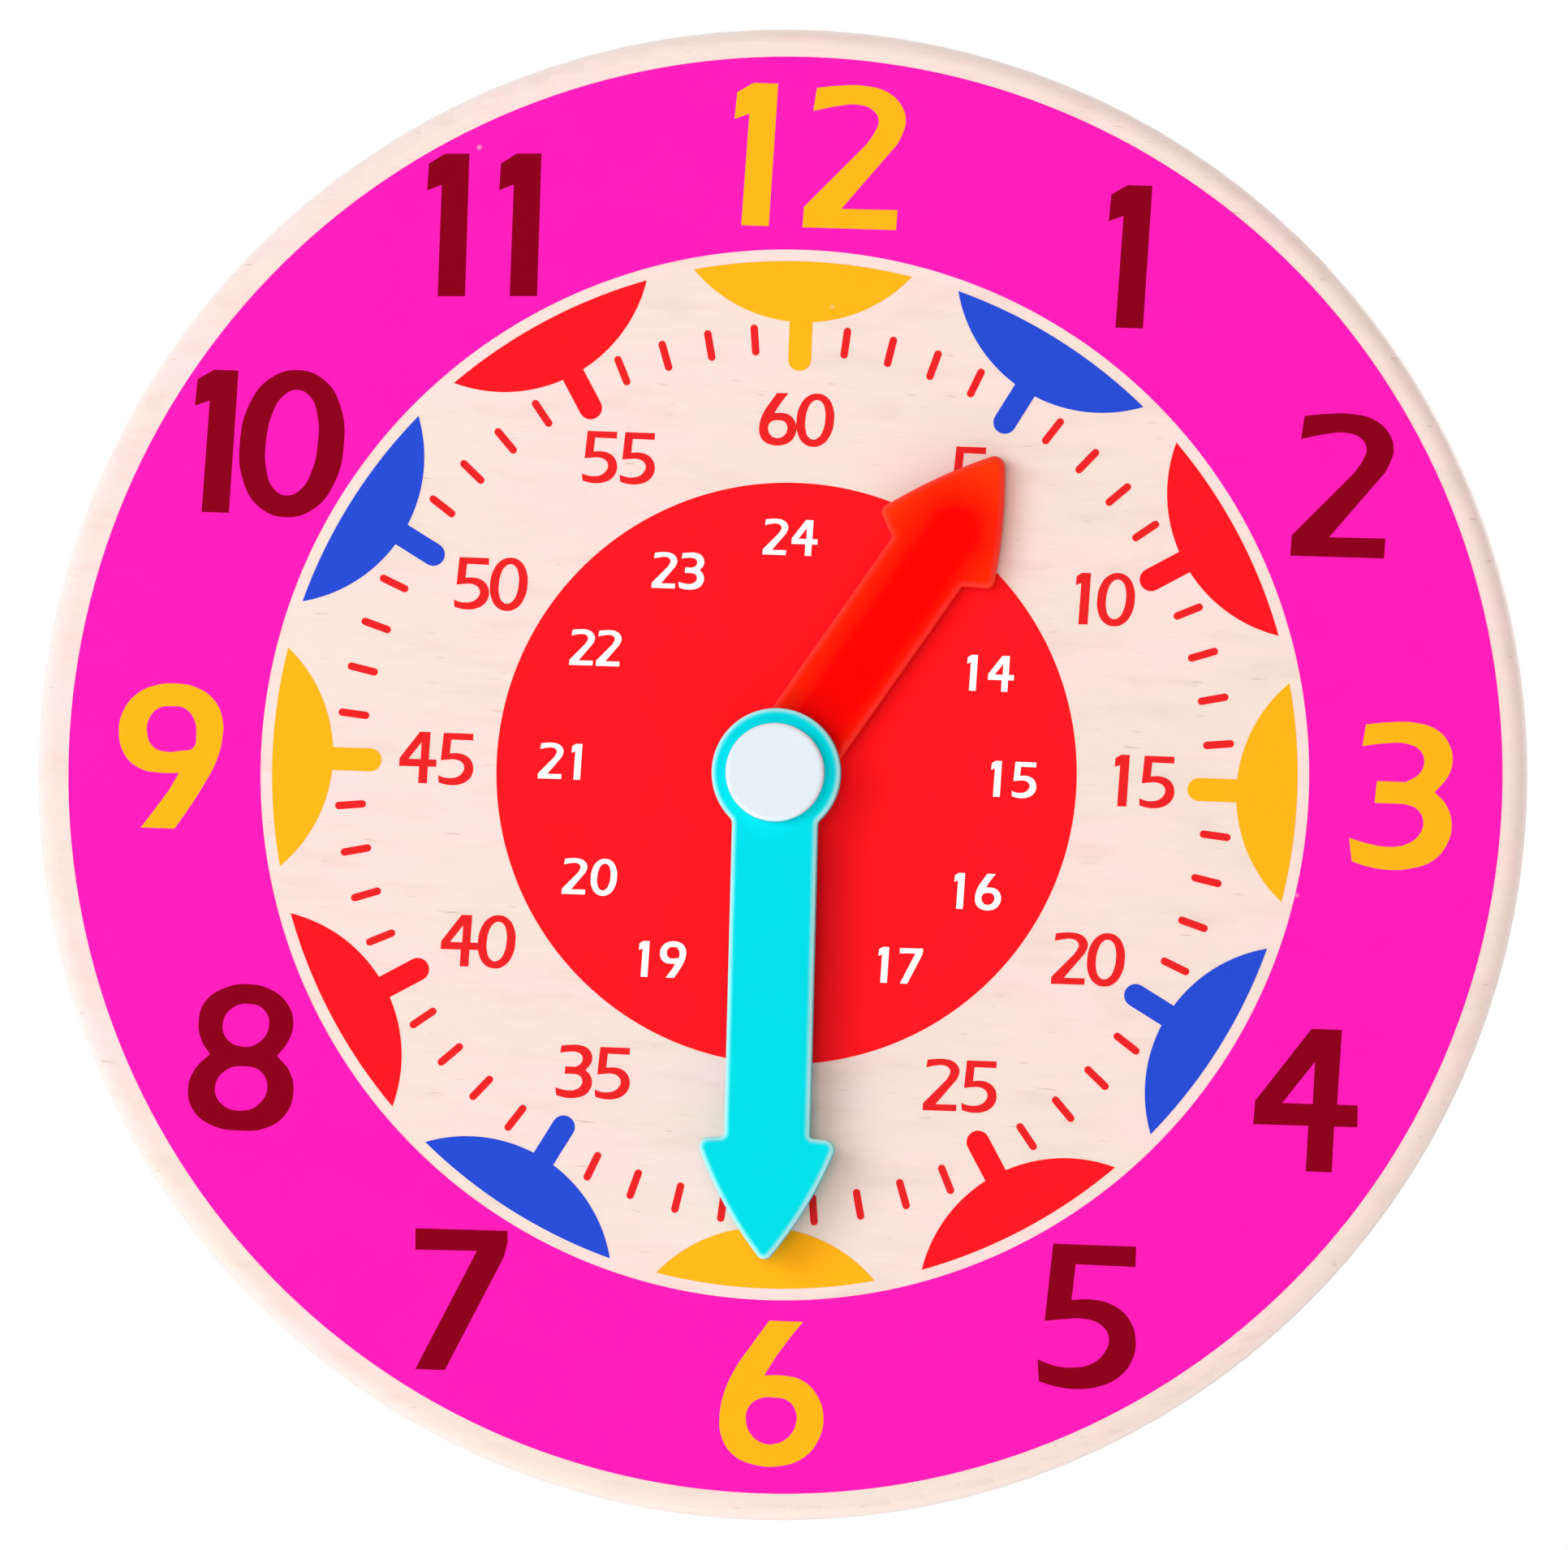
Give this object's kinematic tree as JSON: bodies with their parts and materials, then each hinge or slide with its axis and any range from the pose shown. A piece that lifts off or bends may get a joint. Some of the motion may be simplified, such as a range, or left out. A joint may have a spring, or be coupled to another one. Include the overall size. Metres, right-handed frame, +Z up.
{
  "type": "geared teaching clock",
  "caption": "Round wooden teaching clock for the wall, with printed hour and minute rings and plastic hands that a gear case behind the dial couples.",
  "frame": {"origin": "on the wall plane, where the axis of the hands meets the rear face of the gear case cover", "axes": "+Y into the wall, away from the reader, along the axis of the hands; +Z up, to the dial's twelve; +X to the right of the reader"},
  "size_m": [0.22, 0.0366, 0.22],
  "materials": {
    "board_wood": "bare light wood, screen printed",
    "case_plastic": "moulded, fine texture",
    "cover_plastic": "moulded, fine texture",
    "case_screw_steel": "zinc plated",
    "cover_screw_steel": "zinc plated",
    "dial_washer_nylon": "natural nylon",
    "pin_steel": "ground",
    "pin_washer_nylon": "natural nylon",
    "friction_washer_steel": "spring steel",
    "wheel_plastic": "moulded acetal",
    "pinion_plastic": "moulded acetal",
    "hour_wheel_plastic": "moulded acetal",
    "thrust_washer_nylon": "natural nylon",
    "hour_hand_plastic": "moulded, satin gloss",
    "arbor_steel": "ground",
    "minute_pinion_plastic": "moulded acetal",
    "clip_steel": "spring steel",
    "spacer_nylon": "natural nylon",
    "minute_hand_plastic": "moulded, satin gloss",
    "cap_plastic": "moulded, satin gloss"
  },
  "bodies": {
    "clock": {"dial_board": "board_wood", "gear_case": "case_plastic", "case_cover": "cover_plastic", "case_screws": "case_screw_steel", "cover_screws": "cover_screw_steel", "dial_washer": "dial_washer_nylon", "intermediate_pin": "pin_steel", "pin_washer": "pin_washer_nylon", "friction_washer": "friction_washer_steel"},
    "minute": {"minute_arbor": "arbor_steel", "minute_pinion": "minute_pinion_plastic", "arbor_clip": "clip_steel", "hand_spacer": "spacer_nylon", "minute_hand": "minute_hand_plastic", "hand_cap": "cap_plastic"},
    "intermediate": {"intermediate_wheel": "wheel_plastic", "intermediate_pinion": "pinion_plastic"},
    "hour": {"hour_wheel": "hour_wheel_plastic", "thrust_washer": "thrust_washer_nylon", "hour_hand": "hour_hand_plastic"}
  },
  "joints": [
    {"name": "minute_turn", "type": "hinge", "parent": "clock", "child": "minute", "pos_m": [0, 0, 0], "axis": [0, 1, 0], "continuous": true},
    {"name": "intermediate_turn", "type": "hinge", "parent": "clock", "child": "intermediate", "pos_m": [0, 0, -0.024], "axis": [0, 1, 0], "continuous": true},
    {"name": "hour_turn", "type": "hinge", "parent": "clock", "child": "hour", "pos_m": [0, 0, 0], "axis": [0, 1, 0], "continuous": true}
  ],
  "couplings": [
    {"joint": "intermediate_turn", "follows": "minute_turn", "ratio": -0.33333},
    {"joint": "hour_turn", "follows": "minute_turn", "ratio": 0.083333}
  ]
}
